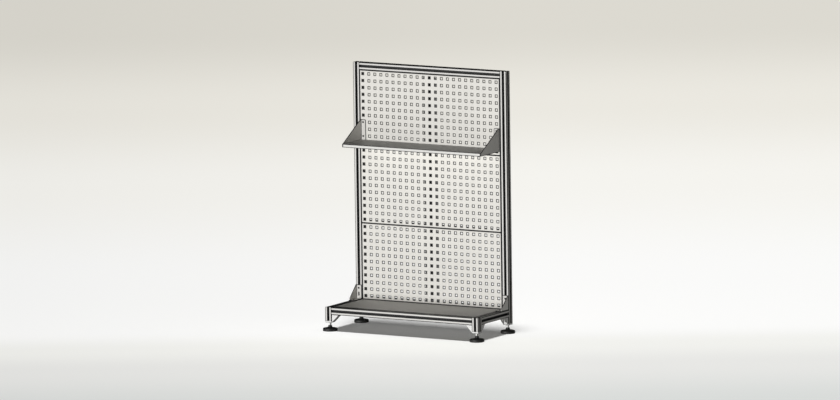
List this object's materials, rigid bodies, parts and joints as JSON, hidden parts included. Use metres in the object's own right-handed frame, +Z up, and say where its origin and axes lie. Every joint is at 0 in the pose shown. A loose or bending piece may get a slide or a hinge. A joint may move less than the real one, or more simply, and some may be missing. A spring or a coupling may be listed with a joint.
{
  "type": "gondola shelving unit",
  "caption": "Free-standing display stand of slotted aluminium profile with perforated back panels, a bracketed shelf, a base deck and adjustable levelling feet.",
  "frame": {"origin": "on the floor at the centre of the four levelling feet", "axes": "+X to the right along the shelf, +Y towards the back panels, +Z up; the front faces -Y"},
  "size_m": [1, 0.416, 1.434],
  "materials": {
    "anodised_aluminium": "satin clear anodised",
    "panel_paint": "fine-texture powder coat, light warm grey",
    "shelf_paint": "fine-texture powder coat, light warm grey",
    "bracket_paint": "fine-texture powder coat, light warm grey",
    "cast_aluminium": "tumbled die casting",
    "black_oxide_steel": "black oxide",
    "zinc_steel": "bright zinc plated",
    "foot_plastic": "fine moulded texture, black",
    "cup_plastic": "smooth moulded, dark grey"
  },
  "bodies": {
    "frame": {"upright_left": "anodised_aluminium", "upright_right": "anodised_aluminium", "front_leg_left": "anodised_aluminium", "front_leg_right": "anodised_aluminium", "base_rail_left": "anodised_aluminium", "base_rail_right": "anodised_aluminium", "base_rail_front": "anodised_aluminium", "base_rail_rear": "anodised_aluminium", "top_rail": "anodised_aluminium", "foot_plate_front_left": "anodised_aluminium", "foot_plate_front_right": "anodised_aluminium", "foot_plate_rear_left": "anodised_aluminium", "foot_plate_rear_right": "anodised_aluminium", "panel_lower": "panel_paint", "panel_middle": "panel_paint", "panel_upper": "panel_paint", "panel_stiffener_lower": "panel_paint", "panel_stiffener_middle": "panel_paint", "panel_stiffener_upper": "panel_paint", "shelf": "shelf_paint", "deck": "shelf_paint", "shelf_bracket_left": "bracket_paint", "shelf_bracket_right": "bracket_paint", "gusset_bracket_left": "bracket_paint", "gusset_bracket_right": "bracket_paint", "corner_bracket_front_left": "cast_aluminium", "corner_bracket_front_right": "cast_aluminium", "corner_bracket_side_front_left": "cast_aluminium", "corner_bracket_side_front_right": "cast_aluminium", "corner_bracket_side_rear_left": "cast_aluminium", "corner_bracket_side_rear_right": "cast_aluminium", "shelf_bolt_left_lower": "black_oxide_steel", "shelf_bolt_left_upper": "black_oxide_steel", "shelf_bolt_right_lower": "black_oxide_steel", "shelf_bolt_right_upper": "black_oxide_steel", "gusset_screw_left_upright": "black_oxide_steel", "gusset_screw_left_rail": "black_oxide_steel", "gusset_screw_right_upright": "black_oxide_steel", "gusset_screw_right_rail": "black_oxide_steel", "shelf_nut_left_lower": "zinc_steel", "shelf_nut_left_upper": "zinc_steel", "shelf_nut_right_lower": "zinc_steel", "shelf_nut_right_upper": "zinc_steel", "gusset_nut_left_upright": "zinc_steel", "gusset_nut_left_rail": "zinc_steel", "gusset_nut_right_upright": "zinc_steel", "gusset_nut_right_rail": "zinc_steel"},
    "foot_front_left_carrier": {"foot_cup_front_left": "cup_plastic"},
    "foot_front_left_screw": {"foot_spindle_front_left": "zinc_steel"},
    "foot_front_left_base": {"foot_pad_front_left": "foot_plastic"},
    "foot_front_right_carrier": {"foot_cup_front_right": "cup_plastic"},
    "foot_front_right_screw": {"foot_spindle_front_right": "zinc_steel"},
    "foot_front_right_base": {"foot_pad_front_right": "foot_plastic"},
    "foot_rear_left_carrier": {"foot_cup_rear_left": "cup_plastic"},
    "foot_rear_left_screw": {"foot_spindle_rear_left": "zinc_steel"},
    "foot_rear_left_base": {"foot_pad_rear_left": "foot_plastic"},
    "foot_rear_right_carrier": {"foot_cup_rear_right": "cup_plastic"},
    "foot_rear_right_screw": {"foot_spindle_rear_right": "zinc_steel"},
    "foot_rear_right_base": {"foot_pad_rear_right": "foot_plastic"}
  },
  "joints": [
    {"name": "foot_front_left_height", "type": "slide", "parent": "frame", "child": "foot_front_left_carrier", "axis": [0, 0, -1], "range_m": [-0.003, 0.02]},
    {"name": "foot_front_left_turn", "type": "hinge", "parent": "foot_front_left_carrier", "child": "foot_front_left_screw", "pos_m": [-0.46, -0.168, 0.016], "axis": [0, 0, 1], "range_deg": [-4117, 620]},
    {"name": "foot_front_left_tilt", "type": "hinge", "parent": "foot_front_left_carrier", "child": "foot_front_left_base", "pos_m": [-0.46, -0.168, 0.016], "axis": [1, 0, 0], "range_deg": [-8, 8]},
    {"name": "foot_front_right_height", "type": "slide", "parent": "frame", "child": "foot_front_right_carrier", "axis": [0, 0, -1], "range_m": [-0.003, 0.02]},
    {"name": "foot_front_right_turn", "type": "hinge", "parent": "foot_front_right_carrier", "child": "foot_front_right_screw", "pos_m": [0.46, -0.168, 0.016], "axis": [0, 0, 1], "range_deg": [-4117, 620]},
    {"name": "foot_front_right_tilt", "type": "hinge", "parent": "foot_front_right_carrier", "child": "foot_front_right_base", "pos_m": [0.46, -0.168, 0.016], "axis": [1, 0, 0], "range_deg": [-8, 8]},
    {"name": "foot_rear_left_height", "type": "slide", "parent": "frame", "child": "foot_rear_left_carrier", "axis": [0, 0, -1], "range_m": [-0.003, 0.02]},
    {"name": "foot_rear_left_turn", "type": "hinge", "parent": "foot_rear_left_carrier", "child": "foot_rear_left_screw", "pos_m": [-0.46, 0.168, 0.016], "axis": [0, 0, 1], "range_deg": [-4117, 620]},
    {"name": "foot_rear_left_tilt", "type": "hinge", "parent": "foot_rear_left_carrier", "child": "foot_rear_left_base", "pos_m": [-0.46, 0.168, 0.016], "axis": [1, 0, 0], "range_deg": [-8, 8]},
    {"name": "foot_rear_right_height", "type": "slide", "parent": "frame", "child": "foot_rear_right_carrier", "axis": [0, 0, -1], "range_m": [-0.003, 0.02]},
    {"name": "foot_rear_right_turn", "type": "hinge", "parent": "foot_rear_right_carrier", "child": "foot_rear_right_screw", "pos_m": [0.46, 0.168, 0.016], "axis": [0, 0, 1], "range_deg": [-4117, 620]},
    {"name": "foot_rear_right_tilt", "type": "hinge", "parent": "foot_rear_right_carrier", "child": "foot_rear_right_base", "pos_m": [0.46, 0.168, 0.016], "axis": [1, 0, 0], "range_deg": [-8, 8]}
  ],
  "couplings": [
    {"joint": "foot_front_left_turn", "follows": "foot_front_left_height", "rad_per_m": -3590.4},
    {"joint": "foot_front_right_turn", "follows": "foot_front_right_height", "rad_per_m": -3590.4},
    {"joint": "foot_rear_left_turn", "follows": "foot_rear_left_height", "rad_per_m": -3590.4},
    {"joint": "foot_rear_right_turn", "follows": "foot_rear_right_height", "rad_per_m": -3590.4}
  ]
}
